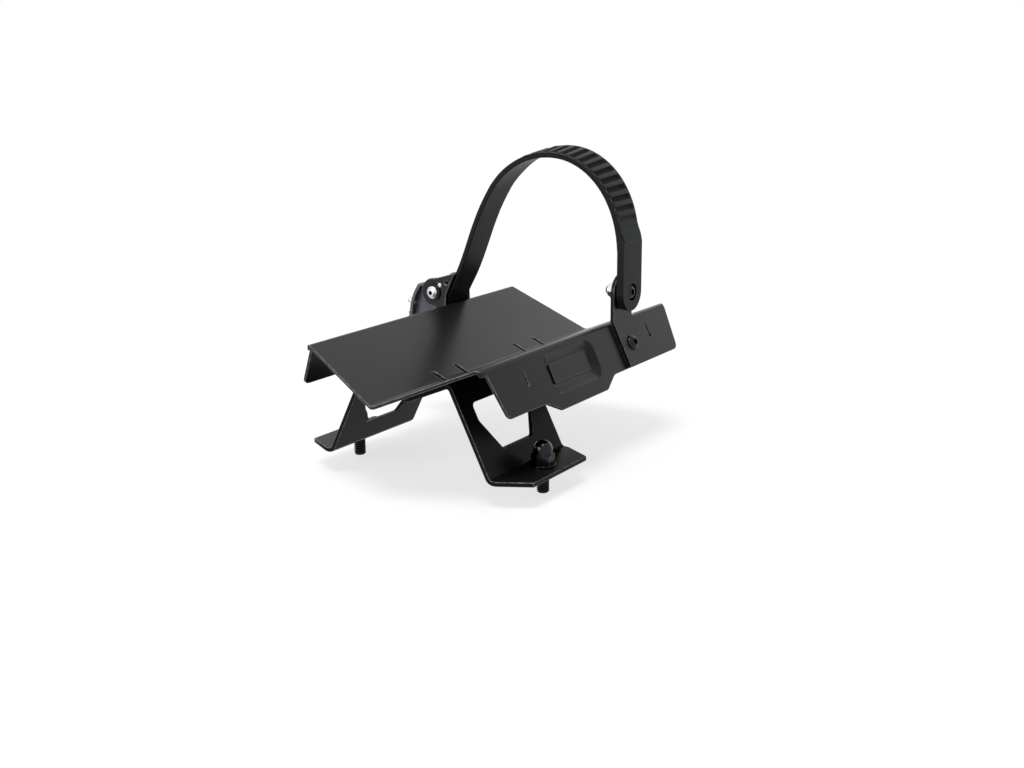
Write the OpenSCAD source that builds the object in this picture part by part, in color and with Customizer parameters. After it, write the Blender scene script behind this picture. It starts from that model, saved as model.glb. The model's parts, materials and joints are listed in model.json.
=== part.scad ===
// Rear wheel cradle of a roof mounted bike carrier: a V tray on a bolted base,
// a toothed strap over the wheel and a ratchet buckle that draws the strap tight.
// X runs along the tray to its overhanging end, Y across to the buckle, Z up, in mm.
// The origin lies midway between the two foot studs, level with the underside of the feet.

/* [Wheel tray] */
// distance across the tray between its two ridge corners
ridge_w = 130; // [126:1:134]
// height of the ridge corners above the feet
ridge_z = 75; // [74:0.5:77]
// depth of the V below the ridges
valley_drop = 27.5; // [26.5:0.5:28.5]
// length of the tray along a ridge
tray_len = 231; // [226:1:246]
// distance from the base to the middle of the tray
tray_mid = 59; // [56:1:62]
// how far the V runs past the ridges at the rear end
nose_rear = 19; // [10:1:22]
// how far the V runs past the ridges at the front end
nose_front = 3; // [2:0.5:10]
// thickness of the tray sheet
tray_t = 2; // [1.8:0.1:2.2]
// length of a side flange down its slope
flange_len = 33.5; // [32:0.5:35]
// lean of a side flange from upright
flange_lean = 26; // [25:0.5:27]
// how far a flange end is raked in over its length
flange_rake = 5; // [3:0.5:7]
// how far a ridge end is cut back before its flange starts
ridge_cut = 5; // [4:0.5:6]
// outer bend radius at the ridges
ridge_r = 3.5; // [3:0.5:4]
// bend radius in the bottom of the V
valley_r = 5; // [4:0.5:8]
// rounding of the lower flange corners
corner_r = 5; // [3:0.5:7]
// length of a tie slot across the V
tie_l = 20; // [16:1:24]
// width of a tie slot
tie_w = 2.8; // [2.4:0.2:3.4]
// distance of the inner tie slots from the tray's middle
tie_inner = 35; // [33:1:37]
// distance of the outer tie slots from the tray's middle
tie_outer = 59; // [56:1:62]
// distance of the flange slits from the tray's middle
slit_x = 75.5; // [74:0.5:77]
// length of a flange slit
slit_l = 8.5; // [7:0.5:10]

/* [Badge recess] */
// middle of the recess along the tray
panel_x = 36.4; // [33:0.1:40]
// width of the recess at the flange's face
panel_w = 60; // [56:0.5:64]
// depth of the recess below the flange's face
panel_depth = 3.6; // [3:0.1:4.2]
// how far the flange hangs lower under the recess
panel_drop = 7.4; // [5:0.1:9]
// width of the badge plate
badge_w = 43.5; // [38:0.5:46]
// height of the badge plate
badge_h = 12.4; // [10:0.2:13]
// thickness of the badge plate
badge_t = 1.2; // [1:0.1:1.4]

/* [Base bracket] */
// width of the base along the tray
base_w = 84; // [80:1:88]
// thickness of the base sheet
base_t = 3; // [2.6:0.1:3.2]
// distance of a stud from the foot of its leg
stud_inset = 11; // [11:0.5:13]
// distance of a leg from the middle under the tray
leg_top_y = 33.5; // [32:0.5:35]
// length of a foot out from its leg
foot_len = 24; // [23:0.5:26]
// distance between the two foot studs
stud_span = 146; // [130:1:162]
// height of the lower edge of a leg window
window_low = 15.5; // [14:0.5:17]
// height of the upper edge of a leg window
window_high = 45; // [43:0.5:46]
// width of a leg window at its lower edge
window_low_w = 33; // [30:1:36]
// width of a leg window at its upper edge
window_high_w = 58; // [54:1:60]

/* [Strap bracket] */
// thickness of the strap bracket plate
plate_t = 3; // [2.8:0.1:3.2]
// how far the plate starts behind the strap's middle
plate_lead = 12.5; // [12.5:0.5:16]
// how far the upright tab's outer face stands out from the ridge
tab_out = 3.2; // [2.8:0.1:3.6]
// height of the upright tab's top
tab_z = 106; // [104:0.5:109]
// how far the bracket bolt sits above the flange's lower edge
bolt_lift = 15.1; // [13.5:0.2:16.5]

/* [Strap] */
// distance of the strap's middle from the base
strap_x = 109; // [108:0.5:110]
// width of the toothed band
strap_w = 24.4; // [23:0.2:24.4]
// thickness of the band without its teeth
strap_t = 2.6; // [2.4:0.1:2.8]
// height of the teeth
tooth_h = 1.4; // [1.2:0.1:1.6]
// spacing of the teeth along the band
tooth_pitch = 7; // [6.8:0.1:7.4]
// radius of the arch on the anchored side
arch_r = 57.4; // [56:0.2:59]
// height of the arch's crown
arch_z = 184.4; // [182:0.2:187]
// width of the thick end block
block_w = 25; // [25:0.5:26]
// thickness of the end block
block_t = 7; // [6.6:0.1:7.4]
// height of the end block's shoulder
block_z = 127.6; // [124:0.2:128]
// height of the strap bolt
strap_bolt_z = 94; // [93:0.2:95]
// largest sideways twist of the band between its anchor and its crown
twist = 9; // [0:1:12]
// length of the free tail below the buckle
tail_l = 26; // [15:1:40]

/* [Ratchet buckle] */
// thickness of the buckle frame
frame_t = 2.4; // [2.2:0.1:2.6]
// how far the frame's ears reach above the ridge
frame_up = 21.4; // [20:0.2:23]
// how far the frame reaches below the ridge
frame_down = 26; // [25:0.5:28]
// radius of a cheek round the axle
cheek_r = 10.2; // [9.4:0.1:10.3]
// height of the axle above the strap's teeth
axle_rise = 7.8; // [7.6:0.1:8.4]
// radius of the lever's curved back
lever_r = 41; // [40.6:0.1:42]
// thickness of the lever's back
lever_t = 2.6; // [2.2:0.1:2.8]
// width of the lever's handle
lever_w = 34; // [31:1:36]

/* [Hidden] */
$fn = 48;
// how far a cutter runs past the face it cuts
cut = 1;
// radial clearance of a turning fit
run_fit = 0.05;
// radial clearance of a bolt in its hole
bolt_fit = 0.3;
// side gap between parts that pass each other
side_gap = 0.5;
// largest turn of one flat step in a rounded corner, and in a turn of a large radius
coarse_step = 9;
fine_step = 2.5;
large_r = 20;
// colours
coat = "#2a2a2c";
strap_colour = "#1d1d1f";
gloss = "#151517";
steel = "#b9bcc0";
black_steel = "#1f2022";

// tray: ends, slope and ridge corners in the Y-Z plane
rear_x = tray_mid - tray_len / 2;
front_x = tray_mid + tray_len / 2;
ridge_y = ridge_w / 2;
valley_z = ridge_z - valley_drop;
slope = atan(valley_drop / ridge_y);
near_ridge = [-ridge_y, ridge_z];
far_ridge = [ridge_y, ridge_z];
near_up = [sin(flange_lean), cos(flange_lean)];
near_out = [-cos(flange_lean), sin(flange_lean)];
far_out = [cos(flange_lean), sin(flange_lean)];
far_up = [-sin(flange_lean), cos(flange_lean)];
// part of a flange that is drawn with its ridge
top_run = 5;
plan_y = ridge_y + top_run * sin(flange_lean);
slit_w = 1.4;
slit_top = 9.5;
slit_eye_r = 1.2;
// badge recess: its upper and lower edge, the run of its walls and the rounding of its corners
panel_lift = 0.5;
panel_tall = 29;
panel_foot = flange_len - panel_lift;
panel_top = panel_foot - panel_tall;
panel_run = 4.2;
panel_run_top = 7;
panel_run_low = 8.5;
panel_r = 9;
panel_rings = 6;
panel_low = flange_len + panel_drop;
// how far the widening starts outside the recess, so that its wall crosses the sheet's face
panel_rim = 0.1;
step_half = 28;
step_run = 14;
badge_lift = 15.5;
badge_y = badge_lift - flange_len;

// base
leg_foot_y = stud_span / 2 - stud_inset;
foot_y = leg_foot_y + foot_len;
foot_cut_x = 11;
foot_cut_y = 20;
base_bend_r = 3;
saddle_bend_r = 5;
window_knee = 35;
under_z = valley_z - tray_t / cos(slope);
leg_top_z = under_z + leg_top_y * tan(slope);

// fasteners: shank radius, head or nut width across flats, heights
m5_r = 2.5;
m5_flats = 8;
m5_nut_h = 4;
m5_head_r = 4.6;
m5_button_r = 4.5;
m5_button_h = 2.8;
m5_key = 3;
m5_lock_h = 5;
m5_washer_r = 6.4;
m5_washer_h = 1.2;
m6_r = 3;
m6_head_r = 5.25;
m6_head_h = 3.3;
m6_rim = 0.7;
m6_key = 4;
m6_key_depth = 2;
m6_flats = 10;
m6_nut_h = 6;
m6_washer_r = 6;
m6_washer_h = 1.4;
m8_r = 4;
m8_flats = 13;
m8_hex_h = 6.5;
m8_dome_r = 6.1;
m8_cap_h = 15;
m8_washer_r = 8;
m8_washer_h = 1.6;
m8_below = 14;
// the stud's plain neck, which starts a little below the foot
m8_neck_r = 3.9;
m8_relief = 0.5;
collar_h = 1.6;
tip_past = 2;

// strap bracket
bolt_drop = flange_len - bolt_lift;
plate_rear = strap_x - plate_lead;
plate_front = front_x - ridge_cut - cut;
tab_w = 25;
tab_corner_r = 12;
tab_y = ridge_y + tab_out;
tab_from = 10;
tab_bend_r = 3;
tab_inset = 0.1;
tab_in = tab_y - plate_t + 2 * tab_inset;
tab_root_y = (ridge_y - tab_y + (plate_t - tab_inset) * cos(flange_lean)) / sin(flange_lean);

// strap: the outer face of its band as a path, and where its teeth start
block_sink = 2.5;
block_step = 2;
block_run = 2.8;
// how far the block stands in past the band, and the round pad that bears on the tab
block_proud = 0.3;
pad_r = 9;
// how far a taper or ramp ends inside what it joins
tuck = 0.4;
strap_in = tab_y + block_step;
strap_out = strap_in + strap_t;
strap_gap = 0.4;
band_n = frame_t + strap_gap + strap_t;
deck = band_n + tooth_h;
crown_flat = 2;
crown_y = -strap_out + arch_r;
far_foot = far_ridge + far_out * band_n;
far_corner = far_foot + far_up * (arch_z - far_foot.y) / far_up.y;
far_turn = 90 - flange_lean;
far_r = (far_corner.x - crown_y - crown_flat) / tan(far_turn / 2);
far_tail = frame_down + tail_l;
strap_path = [[-strap_out, strap_bolt_z + m6_head_r + cut], [-strap_out, arch_z], far_corner, far_foot - far_up * far_tail];
near_mid = [crown_y, arch_z - arch_r];
far_mid = [crown_y + crown_flat, arch_z - far_r];
near_arc = arch_r * PI / 2;
far_arc = far_r * far_turn * PI / 180;
far_start = far_mid + far_out * far_r;
far_run = norm(far_start - strap_path[3]);
band_len = near_arc + crown_flat + far_arc + far_run;
tooth_rise = 0.35;
tooth_tip = 1.6;
tooth_base = 6.2;
tooth_first = 11;
tooth_last = band_len - tooth_base - cut;
// the band's side rails and the slope of the grooves' ends
rail_w = 2;
rail_h = 0.6;
rail_foot = 0.1;
groove_end = 0.6;
groove_h = 0.05;
twist_len = 130;
// how far the bent band stands out from its two arcs, at lengths along it
bow = [[-16, 0], [10, -1.4], [72, 1.05], [126, -1.45], [166, 1.2], [212, -1.1], [240, 0]];
// the band's stations: length along it, height of its teeth and of its rails there
neck_stations = [for (s = [strap_path[0].y - near_mid.y : 5.5 : tooth_first - 4]) [s, groove_h, rail_foot]];
tooth_stations = [for (s = [tooth_first : tooth_pitch : tooth_last])
  each [[s - tooth_rise, groove_h, rail_h], [s, tooth_h, rail_h], [s + tooth_tip, tooth_h, rail_h],
    [s + (tooth_tip + tooth_base) / 2, tooth_h / 2, rail_h], [s + tooth_base, groove_h, rail_h]]];
stations = concat(neck_stations, tooth_stations, [[band_len, groove_h, rail_h]]);

// buckle, drawn in the far flange's plane: first value up the flange, second out from it
cheek_in = strap_w / 2 + side_gap + 0.2;
cheek_out = cheek_in + frame_t;
axle_up = -0.2;
hold_up = 7.5;
hold_low = 2.5;
drive_back = 3.2;
drive_low = 4.6;
back_back = 8.8;
back_low = 26.7;
axle_at = [axle_up, deck + axle_rise];
hold_at = axle_at + [hold_up, -hold_low];
drive_at = axle_at - [drive_back, drive_low];
back_at = axle_at - [back_back, back_low];
pin_r = 1.5;
drive_pin_r = 1.25;
screw_upper = -10;
screw_lower = -20.5;
frame_corner = 3;
// the frame's base plate ends below the ridge, and its ears go on past it beside the strap
base_up = -4;
ear_n = 4.4;
ear_run = 11.9;
ear_rise = 13.5;
cheek_outline = [[frame_up, ear_n], [frame_up - 0.4, ear_n + 1], [frame_up - ear_run, ear_n + ear_rise], axle_at,
  axle_at + [-7.2, -5.5], [frame_corner - frame_down, 2.6], [frame_corner - frame_down, 0], [base_up - frame_corner, 0], [3, ear_n]];
cheek_hole = [[10.4, 6.2], [15.4, 6.2], [10.4, 10.4]];

// lever: arms inside the cheeks, curved back, wide handle and finger lip
arm_out = cheek_in - side_gap;
arm_t = 3.2;
arm_in = arm_out - arm_t;
hub_r = 5.5;
drive_boss_r = 2.6;
back_in = lever_r - lever_t;
back_mid = lever_r - lever_t / 2;
back_from = 78;
back_to = 126;
arm_turns = [back_from + 1, 86, 94, 102, 110, 117];
arm_heel = [-24, 9.6];
arm_waist = [-12, 3.6];
arm_toe = [-8, 2.2];
arm_outline = concat([axle_at + [0, hub_r - 0.3]], [for (a = arm_turns) back_at + polar(back_mid, a)],
  [for (q = [arm_heel, arm_waist, arm_toe]) [q.x, deck + q.y]], [drive_at + [-1.3, -2.2]]);
grip_from = 112;
grip_step = 3.2;
grip_count = 5;
grip_r = 0.9;
lip_root = back_at + polar(back_mid, back_to - 2);
lip_run = 6.2;
lip_rise = 3.4;
lip_end = lip_root + [-lip_run, lip_rise];
lip_t = 2.8;
rivet_turn = 100.5;
rivet_x = -14;
rivet_r = 1.5;
rivet_head_r = 2.1;
rivet_head_h = 3.8;
hold_half = arm_in - side_gap;
hold_body_r = 2.8;
hold_nose = [[0.5, 2.6], [-1, 2.6], [-5.2, -2.6], [-5.4, -4.8], [-4, -4.8], [0.4, -2.7]];
hold_tab = [[-1.6, 2.2], [1, 2.6], [7.2, 0.3], [7.6, -0.6], [7.2, -1.4], [2, -1.6]];
hold_tab_half = 7;
drive_half = arm_in - side_gap;
drive_body_r = 2.3;
drive_nose = [[0.2, 2.2], [-2, 1.8], [-5.6, -1.4], [-5.6, -2.5], [-4.6, -2.6], [-0.6, -2.2]];

function unit(v) = v / norm(v);
function cross2(a, b) = a.x * b.y - a.y * b.x;
function right_of(d) = [d.y, -d.x];
function turn_of(a, b, c) = acos(unit(b - a) * unit(c - b));
function run_of(a, b, c, r) = r * tan(turn_of(a, b, c) / 2);
function polar(r, a) = r * [cos(a), sin(a)];

// how many flat steps stand for a turn of radius r
function steps_of(turn, r) = ceil(turn / (r > large_r ? fine_step : coarse_step));

// the points that round corner b of a, b, c by radius r, moved t to the right of the path
function corner(a, b, c, r, t = 0, n = 0) =
  let (d = unit(b - a), side = sign(cross2(d, unit(c - b))), turn = turn_of(a, b, c))
  let (steps = n > 0 ? n : steps_of(turn, r))
  let (mid = b - d * run_of(a, b, c, r) - right_of(d) * side * r, out = right_of(d) * side)
  let (from = atan2(out.y, out.x))
  r == 0 ? [b] : [for (i = [0 : steps]) mid + polar(r + side * t, from + side * turn * i / steps)];

// an outline with the radius r[i] at each corner p[i], in a fixed number of steps if one is given
function rounded(p, r, steps = 0) =
  let (n = len(p))
  [for (i = [0 : n - 1]) each corner(p[(i + n - 1) % n], p[i], p[(i + 1) % n], r[i], 0, steps)];

// one face of a bent sheet, t to the right of the path p with bend radii r
function sheet_face(p, r, t) =
  let (n = len(p) - 1)
  concat([p[0] + right_of(unit(p[1] - p[0])) * t],
    [for (i = [1 : n - 1]) each corner(p[i - 1], p[i], p[i + 1], r[i - 1], t)],
    [p[n] + right_of(unit(p[n] - p[n - 1])) * t]);

// the badge recess's outline at the share f of its walls' run, at the depth z
function recess_ring(f, z) =
  let (half = panel_w / 2 - panel_run * f, top = -panel_top - panel_run_top * f, foot = panel_run_low * f - panel_foot)
  let (r = panel_r - panel_run * f)
  [for (q = rounded([[panel_x - half, foot], [panel_x + half, foot], [panel_x + half, top], [panel_x - half, top]],
    [r, r, r, r], 5)) [q.x, q.y, z]];

// the strap's teeth: place and direction at the length s along the band
function band_spot(s) =
  s < 0 ? [-strap_out, near_mid.y + s, 90] :
  s < near_arc ? concat(near_mid + polar(arch_r, 180 - s / arch_r * 180 / PI), 90 - s / arch_r * 180 / PI) :
  s < near_arc + crown_flat ? [crown_y + s - near_arc, arch_z, 0] :
  s < near_arc + crown_flat + far_arc ?
    let (turn = (s - near_arc - crown_flat) / far_r * 180 / PI)
    concat(far_mid + polar(far_r, 90 - turn), -turn) :
  concat(far_start - far_up * (s - near_arc - crown_flat - far_arc), -far_turn);

// the band's sideways twist at the length s
function twist_at(s) = s > 0 && s < twist_len ? twist * sin(180 * s / twist_len) : 0;

// how far the band stands out from its arcs at the length s, eased between the given lengths
function bow_at(s) =
  let (found = [for (k = [0 : len(bow) - 2]) if (s >= bow[k].x && s < bow[k + 1].x) k])
  len(found) == 0 ? 0 : let (a = bow[found[0]], b = bow[found[0] + 1])
    a.y + (b.y - a.y) * (1 - cos(180 * (s - a.x) / (b.x - a.x))) / 2;

// the band's section at a station, turned by its twist about the line of its outer face
function band_ring(q) =
  let (spot = band_spot(q[0]), turn = twist_at(q[0]), half = strap_w / 2, inner = half - rail_w, floor = inner - groove_end)
  let (section = [[-half, -strap_t], [-half, q[2]], [-inner, q[2]], [-floor, q[1]], [floor, q[1]], [inner, q[2]], [half, q[2]],
    [half, -strap_t]])
  [for (c = section) let (h = c.x * sin(turn) + c.y * cos(turn) + bow_at(q[0]))
    [strap_x + c.x * cos(turn) - c.y * sin(turn), spot.x - h * sin(spot.z), spot.y + h * cos(spot.z)]];

// a 2D shape drawn in Y and Z, run along X
module along_x(from, to) {
  translate([from, 0, 0]) rotate([90, 0, 90]) linear_extrude(to - from) children();
}

// a 2D shape drawn in X and Z, run along Y
module along_y(from, to) {
  translate([0, to, 0]) rotate([90, 0, 0]) linear_extrude(to - from) children();
}

// flange planes: X along the tray, Y up the flange from the ridge, Z out of the flange
module near_flange() {
  translate([0, -ridge_y, ridge_z]) rotate([90 - flange_lean, 0, 0]) children();
}

module far_flange() {
  mirror([0, 1, 0]) near_flange() children();
}

module at_buckle() {
  far_flange() translate([strap_x, 0, 0]) children();
}

// a bar of thickness t to the right of the line from a to b
module strip(a, b, t) {
  side = right_of(unit(b - a)) * t;
  polygon([a, b, b + side, a + side]);
}

// section of a bent sheet of thickness t that lies to the right of its path
module sheet(p, r, t) {
  back = sheet_face(p, r, t);
  n = len(back);
  polygon(concat(sheet_face(p, r, 0), [for (i = [1 : n]) back[n - i]]));
}

module ring_part(outer, inner, from, to) {
  reach = 2 * outer;
  intersection() {
    difference() {
      circle(outer);
      circle(inner);
    }
    polygon([[0, 0], polar(reach, from), polar(reach, from) + polar(reach, to), polar(reach, to)]);
  }
}

// fasteners stand on z = 0, heads up and shanks down
module hex(flats, h) {
  cylinder(r = flats / 2 / cos(30), h = h, $fn = 6);
}

// hexagon with its corners turned off at the top
module turned_hex(flats, h) {
  tip = flats / 2 / cos(30);
  intersection() {
    hex(flats, h);
    cylinder(r1 = tip + h * tan(60), r2 = tip - tip * (1 - cos(30)), h = h);
  }
}

module lock_nut(flats, h, r) {
  difference() {
    union() {
      turned_hex(flats, h - collar_h);
      cylinder(r = flats / 2 * 0.88, h = h);
    }
    translate([0, 0, -cut]) cylinder(r = r + run_fit, h = h + 2 * cut);
  }
}

module washer(outer, r, h) {
  difference() {
    cylinder(r = outer, h = h);
    translate([0, 0, -cut]) cylinder(r = r + bolt_fit, h = h + 2 * cut);
  }
}

module button_bolt(l, r = m6_r, head_r = m6_head_r, head_h = m6_head_h, key = m6_key) {
  dome = head_h - m6_rim;
  ball = (head_r * head_r + dome * dome) / (2 * dome);
  difference() {
    union() {
      intersection() {
        cylinder(r = head_r, h = head_h);
        translate([0, 0, head_h - ball]) sphere(ball, $fn = 64);
      }
      translate([0, 0, -l]) cylinder(r = r, h = l + m6_rim);
    }
    translate([0, 0, head_h - m6_key_depth]) hex(key, m6_key_depth + cut);
  }
}

module tie_slots() {
  for (x = [-tie_outer, -tie_inner, tie_inner, tie_outer])
    translate([tray_mid + x - tie_w / 2, -tie_l / 2, 0]) cube([tie_w, tie_l, ridge_z]);
}

// slit with a round eye at its lower end, cut through a flange or plate
module slit(x) {
  translate([x, 0, -tray_t - cut]) linear_extrude(tray_t + plate_t + 2 * cut) {
    translate([-slit_w / 2, -slit_top - slit_l]) square([slit_w, slit_l]);
    translate([0, -slit_top - slit_l]) circle(slit_eye_r);
  }
}

// the badge recess as a solid with rounded sloping walls, from the height z over its rim down
module recess(z) {
  rings = concat([recess_ring(-panel_rim, z)], [for (i = [1 : panel_rings])
    let (f = i / panel_rings) recess_ring(f, -panel_depth * f * f * (3 - 2 * f))]);
  n = len(rings[0]);
  last = panel_rings * n;
  walls = [for (k = [0 : panel_rings - 1], i = [0 : n - 1])
    let (a = k * n + i, b = k * n + (i + 1) % n) each [[a, b, a + n], [b, b + n, a + n]]];
  polyhedron([for (ring = rings) each ring],
    concat(walls, [[for (i = [0 : n - 1]) n - 1 - i], [for (i = [0 : n - 1]) last + i]]));
}

// outlines of the two flanges, run up past the part that is drawn with the ridges
module near_outline() {
  back = panel_x - step_half;
  ahead = panel_x + step_half;
  polygon(rounded([[rear_x + ridge_cut, -top_run], [rear_x + ridge_cut + flange_rake, -flange_len],
    [back - step_run, -flange_len], [back, -panel_low], [ahead, -panel_low], [ahead + step_run, -flange_len],
    [front_x - ridge_cut - flange_rake, -flange_len], [front_x - ridge_cut, -top_run], [front_x - ridge_cut, 0],
    [rear_x + ridge_cut, 0]], [0, corner_r, 2 * corner_r, corner_r, corner_r, 2 * corner_r, corner_r, 0, 0, 0]));
}

module far_outline() {
  polygon(rounded([[rear_x + ridge_cut, -top_run], [rear_x + ridge_cut + flange_rake, -flange_len],
    [front_x - ridge_cut - flange_rake, -flange_len], [front_x - ridge_cut, -top_run], [front_x - ridge_cut, 0],
    [rear_x + ridge_cut, 0]], [0, corner_r, corner_r, 0, 0, 0]));
}

// what is cut from a flange outside its outline
module around_flange() {
  translate([0, 0, -tray_t - cut]) linear_extrude(tray_t + 2 * cut) difference() {
    translate([rear_x - nose_rear, -2 * panel_low]) square([tray_len + nose_rear + nose_front, 2 * panel_low - top_run]);
    children();
  }
}

module near_cuts() {
  around_flange() near_outline();
  recess(cut);
  translate([strap_x, -bolt_drop, -tray_t - cut]) cylinder(r = m6_r + bolt_fit, h = tray_t + 2 * cut);
  slit(tray_mid - slit_x);
  slit(tray_mid + slit_x);
}

module far_cuts() {
  around_flange() far_outline();
  for (y = [screw_upper, screw_lower])
    translate([strap_x, y, -tray_t - cut]) cylinder(r = m5_r + bolt_fit, h = tray_t + 2 * cut);
}

module wheel_tray() {
  path = [near_ridge - near_up * (panel_low + cut), near_ridge, [0, valley_z], far_ridge, far_ridge - far_up * (flange_len + cut)];
  half = [[rear_x, -ridge_y], [rear_x + ridge_cut, -plan_y], [rear_x + ridge_cut, -2 * ridge_y],
    [front_x - ridge_cut, -2 * ridge_y], [front_x - ridge_cut, -plan_y], [front_x, -ridge_y]];
  other = [for (i = [0 : 5]) [half[5 - i].x, -half[5 - i].y]];
  plan = concat(half, [[front_x + nose_front, 0]], other, [[rear_x - nose_rear, 0]]);
  color(coat) difference() {
    union() {
      intersection() {
        along_x(rear_x - nose_rear, front_x + nose_front) sheet(path, [ridge_r, valley_r, ridge_r], tray_t);
        linear_extrude(ridge_z + cut) polygon(plan);
      }
      near_flange() translate([0, 0, -tray_t]) recess(tray_t / 2);
    }
    near_flange() near_cuts();
    far_flange() far_cuts();
    tie_slots();
  }
}

module base_bracket() {
  near = [[-foot_y, base_t], [-leg_foot_y, base_t], [-leg_top_y, leg_top_z]];
  far = [for (i = [0 : 2]) [-near[2 - i].x, near[2 - i].y]];
  path = concat(near, [[0, under_z]], far);
  radii = [base_bend_r, saddle_bend_r, valley_r, saddle_bend_r, base_bend_r];
  side = base_w / 2;
  quarter = [[side, foot_y - foot_cut_y], [side - foot_cut_x, foot_y]];
  plan = [quarter[0], quarter[1], [-quarter[1].x, quarter[1].y], [-quarter[0].x, quarter[0].y],
    -quarter[0], -quarter[1], [quarter[1].x, -quarter[1].y], [quarter[0].x, -quarter[0].y]];
  half_low = window_low_w / 2;
  half_high = window_high_w / 2;
  color(coat) difference() {
    intersection() {
      along_x(-side, side) sheet(path, radii, base_t);
      linear_extrude(ridge_z) polygon(plan);
    }
    for (s = [-1, 1]) {
      translate([0, s * stud_span / 2, -cut]) cylinder(r = m8_r + bolt_fit, h = base_t + 2 * cut);
      translate([0, s * leg_foot_y / 2 + s * leg_top_y / 2, 0]) along_y(-leg_top_y / 2, leg_top_y / 2)
        polygon(rounded([[-half_low, window_low], [half_low, window_low], [half_high, window_knee],
          [half_high, window_high], [-half_high, window_high], [-half_high, window_knee]], [3, 3, 4, 3, 3, 4]));
    }
    tie_slots();
  }
}

module badge_plate() {
  half_w = badge_w / 2;
  half_h = badge_h / 2;
  color(gloss) near_flange() translate([panel_x, badge_y, -panel_depth]) linear_extrude(badge_t)
    polygon(rounded([[-half_w, -half_h], [half_w, -half_h], [half_w, half_h], [-half_w, half_h]], [1, 1, 1, 1]));
}

module strap_bracket() {
  skin = plate_t - tab_inset;
  root = near_ridge + near_up * tab_root_y + near_out * skin;
  path = [near_ridge - near_up * tab_from + near_out * skin, root, [-tab_y, tab_z]];
  left = strap_x - tab_w / 2;
  right = strap_x + tab_w / 2;
  color(coat) difference() {
    union() {
      near_flange() linear_extrude(plate_t) polygon(rounded([[plate_rear, -cut], [plate_rear, -flange_len],
        [plate_front - flange_rake, -flange_len], [plate_front, -cut]], [1, 2, corner_r, corner_r - 2]));
      intersection() {
        along_x(left, right) sheet(path, [tab_bend_r], skin - tab_inset);
        along_y(-2 * ridge_y, 0) polygon(rounded([[left, 0], [right, 0], [right, tab_z], [left, tab_z]], [0, 0, tab_corner_r, tab_corner_r]));
      }
    }
    near_flange() {
      translate([strap_x, -bolt_drop, -cut]) cylinder(r = m6_r + bolt_fit, h = plate_t + 2 * cut);
      slit(tray_mid + slit_x);
    }
    translate([strap_x, 0, strap_bolt_z]) rotate([90, 0, 0]) cylinder(r = m6_r + bolt_fit, h = tab_y + cut);
  }
}

module foot_stud(s) {
  color(black_steel) translate([0, s * stud_span / 2, -m8_below]) {
    cylinder(r = m8_r, h = m8_below - m8_relief);
    cylinder(r = m8_neck_r, h = m8_below + base_t + m8_washer_h + m8_hex_h);
  }
}

module foot_washer(s) {
  color(black_steel) translate([0, s * stud_span / 2, base_t]) washer(m8_washer_r, m8_r, m8_washer_h);
}

module foot_nut(s) {
  color(black_steel) translate([0, s * stud_span / 2, base_t + m8_washer_h]) difference() {
    union() {
      turned_hex(m8_flats, m8_hex_h);
      cylinder(r = m8_dome_r, h = m8_cap_h - m8_dome_r);
      translate([0, 0, m8_cap_h - m8_dome_r]) sphere(m8_dome_r);
    }
    translate([0, 0, -cut]) cylinder(r = m8_neck_r + run_fit, h = m8_hex_h + 2 * cut);
  }
}

module foot_stud_near() {
  foot_stud(-1);
}

module foot_stud_far() {
  foot_stud(1);
}

module foot_washer_near() {
  foot_washer(-1);
}

module foot_washer_far() {
  foot_washer(1);
}

module foot_nut_near() {
  foot_nut(-1);
}

module foot_nut_far() {
  foot_nut(1);
}

module bracket_bolt() {
  color(black_steel) near_flange() translate([strap_x, -bolt_drop, plate_t])
    button_bolt(plate_t + tray_t + m6_washer_h + m6_nut_h + tip_past);
}

module bracket_washer() {
  color(black_steel) near_flange() translate([strap_x, -bolt_drop, -tray_t - m6_washer_h])
    washer(m6_washer_r, m6_r, m6_washer_h);
}

module bracket_nut() {
  color(steel) near_flange() translate([strap_x, -bolt_drop, -tray_t - m6_washer_h]) rotate([180, 0, 0])
    lock_nut(m6_flats, m6_nut_h, m6_r);
}

// strap bolt's line: from the sunk face of the end block inward
module on_strap_bolt(y) {
  translate([strap_x, -y, strap_bolt_z]) rotate([90, 0, 0]) children();
}

module strap_bolt() {
  color(black_steel) on_strap_bolt(tab_y + block_t - block_sink)
    button_bolt(block_t - block_sink + tab_y - tab_in + m6_washer_h + m6_nut_h + tip_past);
}

module strap_washer() {
  color(steel) on_strap_bolt(tab_in - m6_washer_h) washer(m6_washer_r, m6_r, m6_washer_h);
}

module strap_nut() {
  color(steel) on_strap_bolt(tab_in - m6_washer_h) rotate([180, 0, 0]) lock_nut(m6_flats, m6_nut_h, m6_r);
}

// the toothed band, from inside the end block to the end of its tail
module toothed_band() {
  rings = [for (q = stations) band_ring(q)];
  n = len(rings[0]);
  last = (len(rings) - 1) * n;
  walls = [for (k = [0 : len(rings) - 2], i = [0 : n - 1])
    let (a = k * n + i, b = k * n + (i + 1) % n) each [[a, a + n, b], [b, a + n, b + n]]];
  polyhedron([for (ring = rings) each ring],
    concat(walls, [[for (i = [0 : n - 1]) i], [for (i = [0 : n - 1]) last + n - 1 - i]]));
}

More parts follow.
